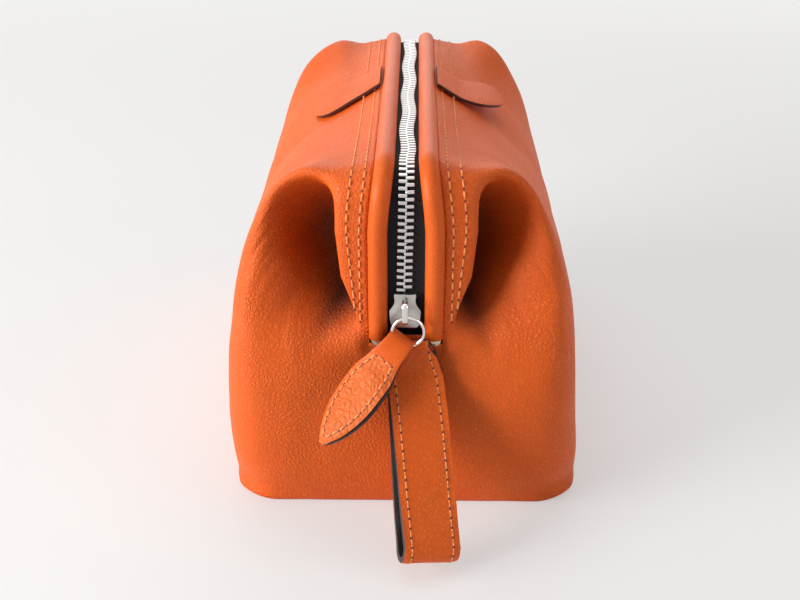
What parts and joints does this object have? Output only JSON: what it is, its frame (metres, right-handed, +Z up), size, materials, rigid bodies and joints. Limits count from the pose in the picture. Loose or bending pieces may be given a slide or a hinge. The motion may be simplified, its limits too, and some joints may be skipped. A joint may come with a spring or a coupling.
{
  "type": "framed toiletry bag",
  "caption": "Soft leather wash bag on a flat base, closed by a hinged wire frame with a metal zip, and a wrist strap at one end.",
  "frame": {"origin": "middle of the base on the surface that the bag stands on", "axes": "+Z up; +Y along the zip from the strap end, where the zip closes, to the far end; +X to the right seen from the strap end"},
  "size_m": [0.1512, 0.2615, 0.1528],
  "materials": {
    "leather": "pebbled orange leather",
    "black_leather": "smooth black leather",
    "lining": "black woven lining",
    "board": "plain stiffening sheet",
    "steel": "drawn wire",
    "nickel": "polished nickel plate",
    "tape": "woven zip tape"
  },
  "bodies": {
    "bag_body": {"base_panel": "leather", "base_board": "board", "base_lining": "lining", "left_wall": "leather", "right_wall": "leather", "left_lining": "lining", "right_lining": "lining", "front_hinge_link": "steel", "rear_hinge_link": "steel", "front_left_hinge_rivet": "steel", "front_right_hinge_rivet": "steel", "rear_left_hinge_rivet": "steel", "rear_right_hinge_rivet": "steel"},
    "left_frame": {"left_frame_wire": "steel", "left_frame_channel": "leather", "left_zip_tape": "tape", "left_zip_teeth": "nickel", "left_zip_end_stop": "nickel"},
    "right_frame": {"right_frame_wire": "steel", "right_frame_channel": "leather", "right_zip_tape": "tape", "right_zip_teeth": "nickel", "right_zip_end_stop": "nickel"},
    "slider": {"slider_body": "nickel", "slider_crown": "nickel"},
    "pull_ring": {"pull_ring": "nickel"},
    "pull_tab": {"pull_tab_leather": "leather", "pull_tab_lining": "black_leather"},
    "wrist_strap": {"wrist_strap_leather": "leather", "wrist_strap_lining": "black_leather"},
    "left_finger_tab": {"left_finger_tab": "leather"},
    "right_finger_tab": {"right_finger_tab": "leather"}
  },
  "joints": [
    {"name": "left_frame_open", "type": "hinge", "parent": "bag_body", "child": "left_frame", "pos_m": [-0.011, 0, 0.0795], "axis": [0, -1, 0], "range_deg": [0, 55], "deforming": ["left_wall", "left_lining", "left_zip_tape", "left_zip_teeth"]},
    {"name": "right_frame_open", "type": "hinge", "parent": "bag_body", "child": "right_frame", "pos_m": [0.011, 0, 0.0795], "axis": [0, 1, 0], "range_deg": [0, 55], "deforming": ["right_wall", "right_lining", "right_zip_tape", "right_zip_teeth"]},
    {"name": "slider_travel", "type": "slide", "parent": "bag_body", "child": "slider", "axis": [0, 0, 1], "range_m": [0, 0.03]},
    {"name": "ring_swing", "type": "hinge", "parent": "slider", "child": "pull_ring", "pos_m": [0, -0.1072, 0.09191], "axis": [-1, 0, 0], "range_deg": [0, 110]},
    {"name": "pull_tab_swing", "type": "hinge", "parent": "pull_ring", "child": "pull_tab", "pos_m": [-0.00293, -0.1072, 0.08076], "axis": [-0.8031, 0.2776, 0.5272], "range_deg": [0, 60]},
    {"name": "wrist_strap_swing", "type": "hinge", "parent": "bag_body", "child": "wrist_strap", "pos_m": [0, -0.1043, 0.0752], "axis": [-1, 0, 0], "range_deg": [-12, 85], "stiffness_Nm_per_rad": 0.03, "springref_deg": 2.86, "deforming": ["wrist_strap_leather", "wrist_strap_lining"]},
    {"name": "left_finger_tab_lift", "type": "hinge", "parent": "left_frame", "child": "left_finger_tab", "pos_m": [-0.023, 0.017, 0.1422], "axis": [0, 1, 0], "range_deg": [0, 80], "stiffness_Nm_per_rad": 0.004, "deforming": ["left_finger_tab"]},
    {"name": "right_finger_tab_lift", "type": "hinge", "parent": "right_frame", "child": "right_finger_tab", "pos_m": [0.023, 0.017, 0.1422], "axis": [0, -1, 0], "range_deg": [0, 80], "stiffness_Nm_per_rad": 0.004, "deforming": ["right_finger_tab"]}
  ]
}
